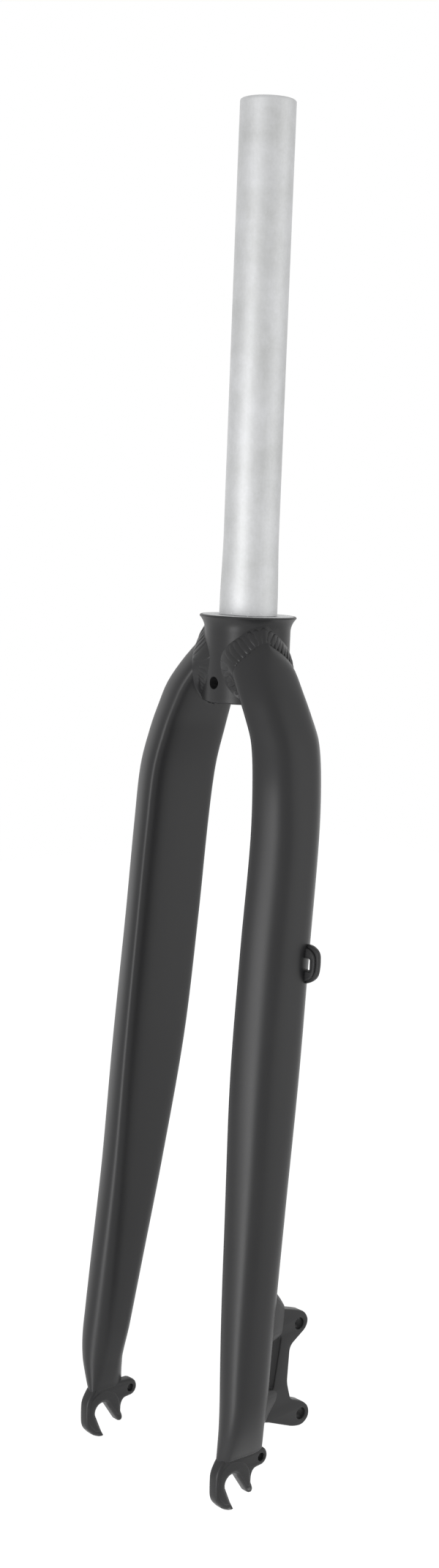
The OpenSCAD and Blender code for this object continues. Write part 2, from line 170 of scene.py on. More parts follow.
def turnedAluminium():
    f = metalFinish
    material, recipe = newMaterial("turnedAluminium")
    place = recipe.node("ShaderNodeTexCoord", output="Object")
    cloud = recipe.noise(place, f["cloudScale"], f["cloudDetail"], f["cloudRoughness"])
    longways = recipe.node("ShaderNodeMapping", {}, {"Vector": place, "Scale": f["streakScale"]})
    streak = recipe.noise(longways, 1.0, f["streakDetail"])
    speck = recipe.noise(place, f["speckScale"], f["speckDetail"])
    tone = cloud * f["cloudShare"] + streak * f["streakShare"] + speck * f["speckShare"]
    colour = recipe.blend(recipe.ramp(tone, *f["toneSpan"]), f["dull"], f["pale"])
    height = recipe.node("ShaderNodeSeparateXYZ", {}, {"Vector": place}, "Z")
    low = recipe.ramp(height, f["scuffTop"], f["scuffLow"])
    scratch = recipe.noise(place, f["scratchScale"], f["scratchDetail"], f["scratchRoughness"])
    colour = recipe.blend(recipe.ramp(scratch * low, *f["scuffSpan"]), colour, f["scuff"])
    bump = recipe.node("ShaderNodeBump", {}, {
        "Strength": f["bump"], "Distance": f["bumpHeight"], "Height": speck + streak})
    rough = f["roughness"] + (cloud - 0.5) * f["roughnessSpread"]
    shader = recipe.node("ShaderNodeBsdfPrincipled", {}, {
        "Base Color": colour, "Roughness": rough, "Normal": bump, "Metallic": 1.0})
    recipe.node("ShaderNodeOutputMaterial", {}, {"Surface": shader})
    return material


paint = satinPaint("satinCharcoal", paintFinish["roughness"], paintFinish["grainHeight"])
weldPaint = satinPaint("satinCharcoalOverWeld", paintFinish["overWeldRoughness"],
                       paintFinish["overWeldGrainHeight"])
# the paint with painted glints, for the left dropout
glintedPaint = satinPaint("satinCharcoalPaintedGlints", paintFinish["roughness"], paintFinish["grainHeight"],
                         paintFinish["glintSpots"])
metal = turnedAluminium()
print("fork: finishes ready")


# Sums used by several pieces
def unit(v):
    return np.asarray(v) / np.linalg.norm(v)


def curve(a, b, c, t):  # runs from a to c and is drawn towards b
    return (1 - t) ** 2 * a + 2 * t * (1 - t) * b + t ** 2 * c


def ramp(value, start, end):  # 0 up to the start, 1 from the end
    return np.clip((value - start) / (end - start), 0, 1)


def halve(low, high, isLow, rounds):  # closes in on the place where isLow stops holding
    for _ in range(rounds):
        mid = (low + high) / 2
        if isLow(mid):
            low = mid
        else:
            high = mid
    return mid


def arc(centre, radius, start, end, steps):
    angles = np.radians(np.linspace(start, end, steps + 1))
    return [(centre[0] + radius * math.cos(a), centre[1] + radius * math.sin(a)) for a in angles]


def mirrored(points):
    return np.asarray(points) * [-1, 1, 1]


def standing(axes, place):  # a matrix from three axes and a place
    return Matrix([[*(axis[i] for axis in axes), place[i]] for i in range(3)] + [[0, 0, 0, 1]])


# Mesh pieces
mergeGap = 0.002 * mm


def addObject(name, data):
    made = bpy.data.objects.new(name, data)
    bpy.context.scene.collection.objects.link(made)
    return made


def appliedMesh(made):  # the mesh with its modifiers worked in
    graph = bpy.context.evaluated_depsgraph_get()
    return bpy.data.meshes.new_from_object(made.evaluated_get(graph))


def newPiece(name, mesh, finishes, crease):
    mesh.materials.clear()
    for finish in finishes:
        mesh.materials.append(finish)
    made = addObject(name, mesh)
    mesh.set_sharp_from_angle(angle=math.radians(crease))
    return made


def finishPiece(made, slot, *nodes):
    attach(made, "root")
    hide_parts(*nodes)


def paintedPiece(name, mesh, finish, node, crease=50):
    finishPiece(newPiece(name, mesh, [finish], crease), "black_paint", node)


def closeUp(mesh):  # merges doubles and turns the faces outwards
    work = bmesh.new()
    work.from_mesh(mesh)
    bmesh.ops.remove_doubles(work, verts=work.verts, dist=mergeGap)
    bmesh.ops.recalc_face_normals(work, faces=work.faces)
    work.to_mesh(mesh)
    work.free()


def meshFrom(name, points, faces):
    mesh = bpy.data.meshes.new(name)
    mesh.from_pydata([tuple(p) for p in np.asarray(points, float) * mm], [], faces)
    closeUp(mesh)
    mesh.polygons.foreach_set("use_smooth", [True] * len(mesh.polygons))
    return mesh


def joinMeshes(name, meshes):
    work = bmesh.new()
    for mesh in meshes:
        work.from_mesh(mesh)
    made = bpy.data.meshes.new(name)
    work.to_mesh(made)
    work.free()
    return made


def mirrorMesh(name, mesh):
    made = mesh.copy()
    made.name = name
    made.transform(Matrix.Diagonal((-1, 1, 1, 1)))
    made.flip_normals()
    return made


def gridFaces(rows, columns, closedRows=False):
    faces = []
    for i in range(rows if closedRows else rows - 1):
        for k in range(columns):
            j, n = (i + 1) % rows, (k + 1) % columns
            faces.append((i * columns + k, i * columns + n, j * columns + n, j * columns + k))
    return faces


def lathe(name, profile, segments):
    angles = np.arange(segments) * 2 * math.pi / segments
    points = [(r * math.cos(a), r * math.sin(a), z) for r, z in profile for a in angles]
    return meshFrom(name, points, gridFaces(len(profile), segments, True))


# The cross hole through crown and steerer, with its edges rounded
holeShape = {
    "diameter": 6.5, "drop": 34.7, "reach": 70, "segments": 48, "rim": 0.45, "rimSteps": 3, "rimAngle": 50,
}
turnedCrease = 35


def throughHole(made, s):
    cutter = addObject("holeCutter", bpy.data.meshes.new("holeCutter"))
    work = bmesh.new()
    turn = Matrix.Translation((0, 0, -s["drop"] * mm)) @ Matrix.Rotation(math.pi / 2, 4, "X")
    radius = s["diameter"] / 2 * mm
    bmesh.ops.create_cone(work, cap_ends=True, segments=s["segments"], radius1=radius, radius2=radius,
                          depth=s["reach"] * mm, matrix=turn)
    work.to_mesh(cutter.data)
    work.free()
    cut = made.modifiers.new("hole", "BOOLEAN")
    cut.object = cutter
    cut.solver = "EXACT"
    rim = made.modifiers.new("rim", "BEVEL")
    rim.width = s["rim"] * mm
    rim.segments = s["rimSteps"]
    rim.limit_method = "ANGLE"
    rim.angle_limit = math.radians(s["rimAngle"])
    mesh = appliedMesh(made)
    made.modifiers.clear()
    made.data = mesh
    bpy.data.objects.remove(cutter)
    mesh.polygons.foreach_set("use_smooth", [True] * len(mesh.polygons))
    mesh.set_sharp_from_angle(angle=math.radians(turnedCrease))


# Steerer
steererShape = {
    "length": 258.5, "diameter": 28.6, "bore": 22.8, "seatDiameter": 30.1, "seatHeight": 5.0,
    "seatEdge": 0.3, "seatTopEdge": 0.2, "footDiameter": 29.4, "footDrop": 40.0, "swell": 36.0,
    "swellFill": 0.98, "chamfer": 0.8, "chamferBow": (0.25, 0.35), "boreEdge": 0.4,
    "swellRows": 19, "wallRows": 40, "wallGaps": (6, 1), "boreRows": 20, "boreGap": 8, "segments": 192,
}


def steererProfile(s):
    bore, outer, seat, foot = [s[k] / 2 for k in ("bore", "diameter", "seatDiameter", "footDiameter")]
    top, low, seatTop, chamfer = s["length"], -s["footDrop"], s["seatHeight"], s["chamfer"]
    profile = [(bore, low), (foot, low), (foot, 0), (seat - s["seatEdge"], 0), (seat, s["seatEdge"]),
               (seat, seatTop - s["seatTopEdge"])]
    for t in np.linspace(0, 1, s["swellRows"]):  # the swell runs out in an S
        share = (1 - t) ** 2 * (1 + 2 * t) * s["swellFill"]
        profile.append((outer + (seat - outer) * share, seatTop + t * s["swell"]))
    lowGap, topGap = s["wallGaps"]
    for z in np.linspace(seatTop + s["swell"] + lowGap, top - chamfer - topGap, s["wallRows"]):
        profile.append((outer, z))
    inwards, down = s["chamferBow"]
    profile += [(outer, top - chamfer), (outer - inwards, top - down), (outer - chamfer, top),
                (bore + s["boreEdge"], top), (bore, top - s["boreEdge"])]
    for z in np.linspace(top - s["boreGap"], low + s["boreGap"], s["boreRows"]):
        profile.append((bore, z))
    return profile


steererMesh = lathe("steerer", steererProfile(steererShape), steererShape["segments"])
steerer = newPiece("steerer", steererMesh, [metal], turnedCrease)


# Crown
crownShape = {
    "height": 45.0, "diameter": 44.6, "shoulder": 50.4, "flare": 10.0, "edge": 1.0, "footLip": 5.0,
    "footEdge": 1.0, "lip": 25.0, "lipEdge": 0.5, "bore": 29.4, "rim": 0.9, "seatBorder": 0.5,
    "seatSink": 0.05, "bareBorder": 1.4, "wallRows": 14, "wallGaps": (3, 1), "flareRows": 16,
    "footSteps": 5, "rimSteps": 6, "segments": 192,
}
crownRadius = crownShape["diameter"] / 2
flareX = crownRadius + crownShape["flare"]
flareEnd = math.acos((flareX - crownShape["shoulder"] / 2) / crownShape["flare"])
flareLow = -crownShape["edge"] - crownShape["flare"] * math.sin(flareEnd)


def crownRadiusAt(z):  # outer radius of the crown at a height
    if z <= flareLow:
        return crownRadius
    rise = min(z - flareLow, crownShape["flare"] * math.sin(flareEnd))
    return flareX - math.sqrt(crownShape["flare"] ** 2 - rise ** 2)


def crownProfile(s):
    bore, lip, low, rim, sink = s["bore"] / 2, s["lip"] / 2, -s["height"], s["rim"], s["seatSink"]
    edge, lowGap, topGap = s["footEdge"], *s["wallGaps"]
    shoulder = s["shoulder"] / 2 - rim
    seat, lipTop = shoulder - s["seatBorder"], low + s["footLip"]
    profile = [(lip + s["lipEdge"], low), (lip + lowGap, low)]
    profile += arc((crownRadius - edge, low + edge), edge, -90, 0, s["footSteps"])
    profile += [(crownRadius, z) for z in np.linspace(low + lowGap, flareLow - topGap, s["wallRows"])]
    profile += [(flareX - s["flare"] * math.cos(a), flareLow + s["flare"] * math.sin(a))
                for a in np.linspace(0, flareEnd, s["flareRows"])]
    profile += arc((shoulder, -rim), rim, 0, 90, s["rimSteps"])[1:]
    profile += [(seat, 0), (seat - sink, -sink), (bore, -sink)]
    return profile + [(bore, lipTop), (lip, lipTop), (lip, low + s["lipEdge"])]


crown = newPiece("crown", lathe("crown", crownProfile(crownShape), crownShape["segments"]), [paint, metal],
                 turnedCrease)
throughHole(crown, holeShape)
throughHole(steerer, holeShape)
for face in crown.data.polygons:  # the race's seat is left bare
    centre = face.center / mm
    onSeat = abs(centre.z + crownShape["seatSink"]) < crownShape["seatSink"] / 2
    if onSeat and math.hypot(centre.x, centre.y) < crownShape["shoulder"] / 2 - crownShape["bareBorder"]:
        face.material_index = 1
finishPiece(steerer, "bare_aluminium", "steerer_tube")
finishPiece(crown, "black_paint", "crown_tube")
print("fork: steerer and crown turned")

# Legs. Each station holds drop, inset, lead, depth, width, nose and tail as shares of the sizes
# in legShape, and its softness
legShape = {
    "drop": 414.0, "inset": 48.0, "lead": 48.0, "depth": 54.0, "width": 23.5, "nose": 10.0, "tail": 21.0,
    "faceCrown": 0.4, "crispStart": 300.0, "crisp": 0.3, "columns": 108, "mitreRows": 16, "mitreEnd": 66.0,
    "straightRows": 92, "sunk": 1.6, "jointRounds": 18,
}
stationShares = np.array([
    [0.00, -0.23, 0.31, 0.59, 1.02, 0.50, 0.80, 1.0], [0.03, 0.01, 0.39, 0.72, 1.02, 0.55, 1.10, 1.0],
    [0.06, 0.18, 0.53, 0.81, 1.02, 0.65, 0.62, 1.0], [0.09, 0.37, 0.59, 0.88, 1.00, 0.70, 0.70, 1.0],
    [0.12, 0.52, 0.60, 0.94, 0.98, 0.75, 0.85, 1.0], [0.15, 0.64, 0.61, 0.98, 0.98, 0.80, 0.95, 1.0],
    [0.20, 0.74, 0.66, 1.00, 0.98, 0.85, 1.00, 1.0], [0.27, 0.78, 0.70, 1.00, 1.00, 0.95, 1.00, 1.0],
    [0.40, 0.79, 0.79, 1.00, 1.00, 1.00, 0.95, 1.0], [0.56, 0.81, 0.88, 0.96, 1.00, 0.90, 0.83, 1.0],
    [0.73, 0.86, 0.93, 0.81, 0.96, 0.70, 0.62, 1.1], [0.87, 0.92, 0.99, 0.70, 0.90, 0.50, 0.43, 1.3],
    [1.00, 1.00, 1.03, 0.59, 0.80, 0.30, 0.24, 1.5]])
stations = stationShares * np.array(
    [legShape[k] for k in ("drop", "inset", "lead", "depth", "width", "nose", "tail")] + [1])
cornerShares = [0.255, 0.19, 0.21, 0.34]  # how far each corner is cut back
arcs = 9  # curved stretches round a section, and its highest u


def leanAt(i):
    a, b = max(i - 1, 0), min(i + 1, len(stations) - 1)
    return (stations[b] - stations[a]) / (stations[b, 0] - stations[a, 0])


leans = np.array([leanAt(i) for i in range(len(stations))])


def stationAt(drop):
    i = int(np.clip(np.searchsorted(stations[:, 0], drop, side="right") - 1, 0, len(stations) - 2))
    h = stations[i + 1, 0] - stations[i, 0]
    t = (drop - stations[i, 0]) / h
    return ((1 - t) ** 2 * ((1 + 2 * t) * stations[i] + t * h * leans[i])
            + t ** 2 * ((3 - 2 * t) * stations[i + 1] + (t - 1) * h * leans[i + 1]))


def softCorners(p, soft, low):  # the outer front corner, the second, gets crisper towards the lower end
    made = []
    for i in range(4):
        cut = cornerShares[i] * soft * (1 - legShape["crisp"] * low * (i == 1))
        for q in (p[i - 1], p[(i + 1) % 4]):
            made.append(p[i] + cut * unit(q - p[i]))
    made.append((p[0] + p[3]) / 2 - [legShape["faceCrown"], 0])
    return np.array(made)


def controls(drop):
    _, x, lead, depth, width, nose, tail, soft = stationAt(drop)
    corners = [[x, -lead], [x + width, -lead + nose], [x + width, -lead + depth - tail], [x, -lead + depth]]
    return softCorners(np.array(corners), width * soft, ramp(drop, legShape["crispStart"], legShape["drop"]))


def sectionPoint(v, u):
    i = int(math.floor(u)) % arcs
    return curve((v[i - 1] + v[i]) / 2, v[i], (v[i] + v[(i + 1) % arcs]) / 2, u - math.floor(u))


def legPoint(u, drop):
    return np.append(sectionPoint(controls(drop), u), -drop)


def jointDrop(u):  # where the leg's surface line at u leaves the crown
    return halve(0.0, crownShape["height"] + legShape["width"],
                 lambda drop: math.hypot(*legPoint(u, drop)[:2]) < crownRadius, legShape["jointRounds"])


# The leg's lower end is pinched from a height down to this arch, and a round lip ends it on the dropout
neckShape = {
    "start": 394.0, "inner": 50.0, "outer": 59.4, "front": -47.8, "rear": -19.6, "slant": 6.8, "nose": 3.7,
    "soft": 9.0, "bias": 1.9, "pinchRows": 24, "lipRows": 6, "lip": 1.6, "lipFace": 56.8,
    "arch": [(-48.0, -433.0), (-46.4, -431.0), (-44.4, -428.2), (-42.5, -427.5), (-36.0, -427.5),
             (-27.0, -427.6), (-23.0, -427.2), (-19.6, -426.0)],
}


def legGrid(s, n):
    us = np.arange(s["columns"]) * arcs / s["columns"]
    starts = [jointDrop(u) - s["sunk"] for u in us]
    rows = []
    for t in np.arange(s["mitreRows"]) / s["mitreRows"]:
        rows.append([legPoint(u, (1 - t) * start + t * s["mitreEnd"]) for u, start in zip(us, starts)])
    for drop in np.linspace(s["mitreEnd"], n["start"], s["straightRows"]):
        v = controls(drop)
        rows.append([np.append(sectionPoint(v, u), -drop) for u in us])
    inner, outer, front, rear = n["inner"], n["outer"], n["front"], n["rear"]
    corners = [[inner, front], [outer, front + n["nose"]], [outer, rear], [inner, rear - n["slant"]]]
    thin = softCorners(np.array(corners), n["soft"], 0)
    ends = np.array([sectionPoint(thin, u) for u in us])
    arch = np.interp(ends[:, 1], *np.array(n["arch"]).T)
    for t in np.arange(1, n["pinchRows"] + 1) / n["pinchRows"]:
        row = []
        for u, end, low in zip(us, ends, arch):
            z = (1 - t) * -n["start"] + t * low
            wide = sectionPoint(controls(min(-z, s["drop"])), u)
            row.append(np.append(wide + t ** n["bias"] * (end - wide), z))
        rows.append(row)
    middle = np.array([inner, (front + rear) / 2])
    kept = np.array([(n["lipFace"] - inner) / (outer - inner), 1 - 2 * n["lip"] / (rear - front)])
    for a in np.linspace(0, math.pi / 2, n["lipRows"] + 1)[1:]:
        shrunk = middle + (ends - middle) * (1 - (1 - math.cos(a)) * (1 - kept))
        rows.append([np.append(q, low - n["lip"] * math.sin(a)) for q, low in zip(shrunk, arch)])
    return np.array(rows)


def legMesh(name, grid):
    rows, columns, _ = grid.shape
    points = list(grid.reshape(-1, 3)) + [grid[0].mean(0), grid[-1].mean(0)]
    faces = gridFaces(rows, columns)
    top, end, last = rows * columns, rows * columns + 1, (rows - 1) * columns
    for k in range(columns):
        n = (k + 1) % columns
        faces += [(top, n, k), (end, last + k, last + n)]
    return meshFrom(name, points, faces)


leftGrid = legGrid(legShape, neckShape)
paintedPiece("leftLeg", legMesh("leftLeg", leftGrid), paint, "left_blade")
paintedPiece("rightLeg", legMesh("rightLeg", mirrored(leftGrid)), paint, "right_blade")
print("fork: legs lofted")

# Plates. An outline is a list of x, y and rounding, and below zero a corner is as round as its sides
# let it. The edge of a hole is no softer than holeEdge
plateRules = {
    "cornerSteps": 8, "edgeSteps": 4, "shortest": 0.03, "holeEdge": 0.6, "sharpest": 0.6, "freeShare": 0.96,
    "searchRounds": 9, "flatCosine": 0.999,
}


def scaled(shares, k):
    return [[x * k, y * k, c * k] for x, y, c in shares]


def rounded(outline):
    made = []
    for i, (x, y, r) in enumerate(outline):
        q = np.array([x, y], float)
        if r == 0:
            made.append(q)
            continue
        a, b = [np.array(outline[j % len(outline)][:2], float) - q for j in (i - 1, i + 1)]
        short = min(np.linalg.norm(a), np.linalg.norm(b))
        a, b = unit(a), unit(b)
        cut = short / 2 if r < 0 else r / math.tan(math.acos(np.clip(a @ b, -1, 1)) / 2)
        shares = np.linspace(0, 1, plateRules["cornerSteps"] + 1)
        made += [curve(q + cut * a, q, q + cut * b, t) for t in shares]
    return np.array(made)


def circle(centre, radius, steps):
    return np.array(arc(centre, radius, 0, 360, steps)[:-1])


def insetLine(outline, depth):  # moves a closed outline towards the material, on its left
    ahead = np.roll(outline, -1, 0) - outline
    ahead /= np.linalg.norm(ahead, axis=1)[:, None]
    behind = np.roll(ahead, 1, 0)
    normal = np.stack([-ahead[:, 1] - behind[:, 1], ahead[:, 0] + behind[:, 0]], 1)
    return outline + (depth / np.maximum((normal ** 2).sum(1) / 2, plateRules["sharpest"]))[:, None] * normal


def nearest(points, outline):  # distance of each point from a closed outline
    ahead = np.roll(outline, -1, 0) - outline
    gap = points[:, None] - outline[None]
    t = np.clip((gap * ahead).sum(2) / (ahead ** 2).sum(1), 0, 1)
    return np.linalg.norm(gap - t[:, :, None] * ahead, axis=2).min(1)


def roomInside(outline, depth):  # how far each point may move in before it meets the other side
    low, high = np.zeros(len(outline)), np.full(len(outline), depth)
    for _ in range(plateRules["searchRounds"]):
        mid = (low + high) / 2
        free = nearest(insetLine(outline, mid), outline) > plateRules["freeShare"] * mid
        low, high = np.where(free, mid, low), np.where(free, high, mid)
    return low


def tidyLine(outline, clockwise):  # drops points that almost meet, and sets which way the line runs
    behind = np.roll(outline, 1, 0)
    outline = outline[np.linalg.norm(outline - behind, axis=1) > plateRules["shortest"]]
    ahead = np.roll(outline, -1, 0)
    area = (outline[:, 0] * ahead[:, 1] - outline[:, 1] * ahead[:, 0]).sum()
    return outline[::-1] if (area > 0) == clockwise else outline


def plateMesh(name, outlines, thickness, edge, matrix):  # the first outline is the rim, the rest are holes
    turns = np.linspace(math.pi / 2, 0, plateRules["edgeSteps"] + 1)
    points, faces, tops, bottoms, starts = [], [], [], [], []
    for index, outline in enumerate(outlines):
        line = tidyLine(outline, index > 0)
        start = len(points)
        soft = min(edge, plateRules["holeEdge"]) if index else edge
        room = roomInside(line, soft)
        levels = [(1 - math.cos(a), thickness / 2 - soft + soft * math.sin(a)) for a in turns]
        levels += [(share, -height) for share, height in levels[::-1]]
        for share, height in levels:
            points += [(x, y, height) for x, y in insetLine(line, room * share)]
        faces += [[start + v for v in face] for face in gridFaces(len(levels), len(line))]
        tops.append([Vector((x, y, 0)) for x, y in insetLine(line, room)])
        starts += [start + k for k in range(len(line))]
        bottoms += [start + (len(levels) - 1) * len(line) + k for k in range(len(line))]
    for triangle in tessellate_polygon(tops):
        faces.append([starts[v] for v in triangle])
        faces.append([bottoms[v] for v in triangle[::-1]])
    mesh = meshFrom(name, points, faces)
    mesh.transform(matrix)
    across = matrix.to_3x3().col[2]
    isEdge = [abs(face.normal.dot(across)) < plateRules["flatCosine"] for face in mesh.polygons]
    mesh.polygons.foreach_set("use_smooth", isEdge)
    return mesh


def sideways(x, y, z):  # plate's x runs to the rear and its y upwards
    return Matrix.Translation((x * mm, y * mm, z * mm)) @ Matrix(
        ((0, 0, 1, 0), (1, 0, 0, 0), (0, 1, 0, 0), (0, 0, 0, 1)))


# Dropouts. Outlines, wall places and the pad's reach are shares of the hook's radius
dropoutShape = {
    "inner": 50.0, "thickness": 7.2, "axle": (-39.2, -442.0), "hook": 15.0, "axleDiameter": 9.2,
    "eyelet": (1.29, 0.59), "eyeletDiameter": 9.8, "eyeletHole": 4.2, "edge": 2.0,
    "mouthFront": 24.4, "mouthRear": 35.0, "hookTip": 0.872, "hookTipRound": 0.5,
    "frontWall": (0.6, 0.3), "rearWall": (0.3, 0.55), "prongTip": 0.95, "shoulder": (1.0, 0.93),
    "padEdge": 1.6, "padRise": 0.4, "padInset": 0.9, "padReach": 0.83, "padTurn": 138,
    "padFront": (0.56, 0.3), "padRear": (0.3, 0.62), "eyeletTurns": (-90, 95),
    "seatSteps": 20, "eyeletSteps": 20, "eyeletHoleSteps": 32, "padSteps": 26,
}
hookShares = [[-0.38, 1.0, 0], [-0.56, 0.76, -1], [-0.728, 0.45, -1], [-0.732, -0.10, -1],
              [-0.70, -0.52, -1], [-0.36, -0.86, -1], [-0.10, -0.97, 0.2], [0.04, -0.98, 0.09]]
prongShares = [[0.93, -0.60, -1], [0.995, -0.47, -1], [0.955, -0.34, -1], [0.893, -0.22, -1],
               [0.90, 0.06, -1], [1.0, 0.235, -1]]
padShares = [[-0.69, 0.28, -1], [-0.66, -0.40, -1], [-0.30, -0.76, -1], [-0.08, -0.74, -1]]
padTail = [[0.80, -0.36, -1]]


def slotWalls(s, inset=0):  # where the slot's walls leave the seat, and which way they run
    r = s["axleDiameter"] / 2 + inset
    front, rear = math.radians(s["mouthFront"]), math.radians(s["mouthRear"])
    ahead, behind = [np.array([math.cos(a), math.sin(a)]) for a in (front, rear)]
    return (-r * ahead, np.array([math.sin(front), -math.cos(front)]),
            r * behind, np.array([math.sin(rear), -math.cos(rear)]))


def seatArc(s, inset=0):
    radius = s["axleDiameter"] / 2 + inset
    return [[x, y, 0] for x, y in arc((0, 0), radius, 180 + s["mouthFront"], s["mouthRear"], s["seatSteps"])]


def wallPoint(start, way, reach, rounding=0):
    return [*(start + way * reach), rounding]


def dropoutOutlines(s):
    k = s["hook"]
    eye = np.array(s["eyelet"]) * k
    a, way, b, wayRear = slotWalls(s)
    outline = scaled(hookShares, k)
    outline.append(wallPoint(a, way, s["hookTip"] * k, s["hookTipRound"]))
    outline += [wallPoint(a, way, t * k) for t in s["frontWall"]] + seatArc(s)
    outline += [wallPoint(b, wayRear, t * k) for t in s["rearWall"]]
    outline += [wallPoint(b, wayRear, s["prongTip"] * k, -1)] + scaled(prongShares, k)
    outline += [[x, y, 0] for x, y in arc(eye, s["eyeletDiameter"] / 2, *s["eyeletTurns"], s["eyeletSteps"])]
    outline += scaled([[*s["shoulder"], 0]], k)
    return rounded(outline), circle(eye, s["eyeletHole"] / 2, s["eyeletHoleSteps"])


def padOutline(s):  # the raised seat round the axle slot
    k = s["hook"]
    a, way, b, wayRear = slotWalls(s, s["padInset"])
    outline = [[x, y, 0] for x, y in arc((0, 0), s["padReach"] * k, 0, s["padTurn"], s["padSteps"])]
    outline += scaled(padShares, k)
    outline += [wallPoint(a, way, s["padFront"][0] * k, -1), wallPoint(a, way, s["padFront"][1] * k)]
    outline += seatArc(s, s["padInset"])
    outline += [wallPoint(b, wayRear, s["padRear"][0] * k), wallPoint(b, wayRear, s["padRear"][1] * k, -1)]
    return rounded(outline + scaled(padTail, k))


def dropoutMesh(name, s):
    place = sideways(s["inner"] + s["thickness"] / 2, *s["axle"])
    plate = plateMesh(name, dropoutOutlines(s), s["thickness"], s["edge"], place)
    pad = plateMesh(name + "Pad", [padOutline(s)], s["thickness"] + 2 * s["padRise"], s["padEdge"], place)
    return joinMeshes(name, [plate, pad])


leftDropoutMesh = dropoutMesh("leftDropout", dropoutShape)
rightDropoutMesh = mirrorMesh("rightDropout", leftDropoutMesh)
paintedPiece("leftDropout", leftDropoutMesh, glintedPaint, "left_dropout")
paintedPiece("rightDropout", rightDropoutMesh, paint, "right_dropout")
print("fork: dropouts cut")

# Disc mount
mountShape = {
    "pitch": 51.0, "hole": 6.2, "thickness": 6.5, "face": 52.0, "back": 8.8, "drop": 369.3, "lean": 4.6,
    "edge": 0.8, "holeSteps": 48,
}
mountShares = [  # top edge, upper lobe, neck, lower lobe and foot
    [-0.62, 0.45, 0], [-0.43, 0.44, 0.04], [-0.25, 0.215, 0.12], [-0.05, 0.16, -1], [0.075, 0.118, -1],
    [0.135, 0.02, -1], [0.105, -0.07, -1], [-0.115, -0.215, 0.12], [-0.135, -0.60, 0.3],
    [-0.075, -0.80, 0.1], [0.11, -0.87, -1], [0.195, -0.95, -1], [0.20, -1.06, -1], [0.11, -1.13, -1],
    [-0.02, -1.115, -1], [-0.37, -0.978, 0.2], [-0.66, -0.90, 0], [-0.66, -0.62, 0],
    [-0.335, -0.64, 0.04], [-0.245, -0.07, 0.04], [-0.62, -0.05, 0]]


def mountMesh(s):
    k, lean = s["pitch"], math.radians(s["lean"])
    holes = [circle(centre, s["hole"] / 2, s["holeSteps"])
             for centre in ((0, 0), (k * math.sin(lean), -k * math.cos(lean)))]
    place = sideways(s["face"] - s["thickness"] / 2, s["back"], -s["drop"])
    return plateMesh("discMount", [rounded(scaled(mountShares, k)), *holes], s["thickness"], s["edge"], place)


paintedPiece("discMount", mountMesh(mountShape), paint, "disc_mount")

# Hose guide: a body that stands on a thinner plate, both with the same window
guideShape = {
    "height": 21.0, "reach": 7.6, "thickness": 3.8, "drop": 173.5, "turn": 10.0, "edge": 0.55, "seatU": 5,
    "plateThickness": 2.5, "plateShift": -0.6, "bodyShift": 0.35,
}
guideShares = [[-0.16, 0.48, 0], [0.10, 0.53, -1], [0.37, 0.38, -1], [0.385, 0.02, -1],
               [0.335, -0.27, -1], [0.10, -0.44, -1], [-0.16, -0.47, 0]]
guideInset = [[-0.16, 0.42, 0], [0.07, 0.45, -1], [0.29, 0.31, -1], [0.305, 0.01, -1],
              [0.26, -0.23, -1], [0.07, -0.37, -1], [-0.16, -0.41, 0]]
guideWindow = [[-0.03, 0.19, 0.05], [0.16, 0.19, 0.05], [0.16, -0.12, 0.05], [-0.03, -0.12, 0.05]]


def guideMesh(s):
    k = s["height"]
    stretch = s["reach"] / (guideShares[2][0] * k)
    foot = Matrix.Translation([v * mm for v in legPoint(s["seatU"], s["drop"])])
    place = foot @ Matrix.Rotation(math.radians(s["turn"]), 4, "Z") @ Matrix.Rotation(math.pi / 2, 4, "X")

    def layer(name, shares, thickness, shift):
        outlines = [rounded([[x * k * stretch, y * k, c * k] for x, y, c in line])
                    for line in (shares, guideWindow)]
        return plateMesh(name, outlines, thickness, s["edge"], place @ Matrix.Translation((0, 0, shift * mm)))
    return joinMeshes("hoseGuide", [
        layer("guidePlate", guideShares, s["plateThickness"], s["plateShift"]),
        layer("guideBody", guideInset, s["thickness"], s["bodyShift"])])


paintedPiece("hoseGuide", guideMesh(guideShape), paint, "hose_guide")
print("fork: disc mount and hose guide cut")

# Welds between crown and legs: a bead, with a row of ripples laid along it
weldShape = {
    "crownWidth": 4.6, "legWidth": 4.4, "frontWidth": 4.2, "footWidth": 2.8, "height": 1.6, "crest": 2.0,
    "rootSink": 0.8, "toeLift": 0.5, "steps": 240, "traceSteps": 360, "across": 10, "probe": 0.03,
    "frontSpan": (30, 65), "footSpan": (25, 45), "footDrops": (18, 30),  # degrees round the crown, and drops
    "ripplePitch": 2.6, "rippleLength": 2.5, "rippleRise": 0.24, "rippleSink": 1.0, "tilt": 12.0, "seed": 7,
    "vary": (0.88, 1.14), "highSpan": (-60, -5), "highDrop": 18, "lowRise": 0.79,
    "ballSteps": (20, 10),
}
weldCrease = 60


def legSide(u, drop):
    v = controls(drop)
    step = weldShape["probe"]
    t = sectionPoint(v, (u + step) % arcs) - sectionPoint(v, (u - step) % arcs)
    return unit([t[1], -t[0], 0])


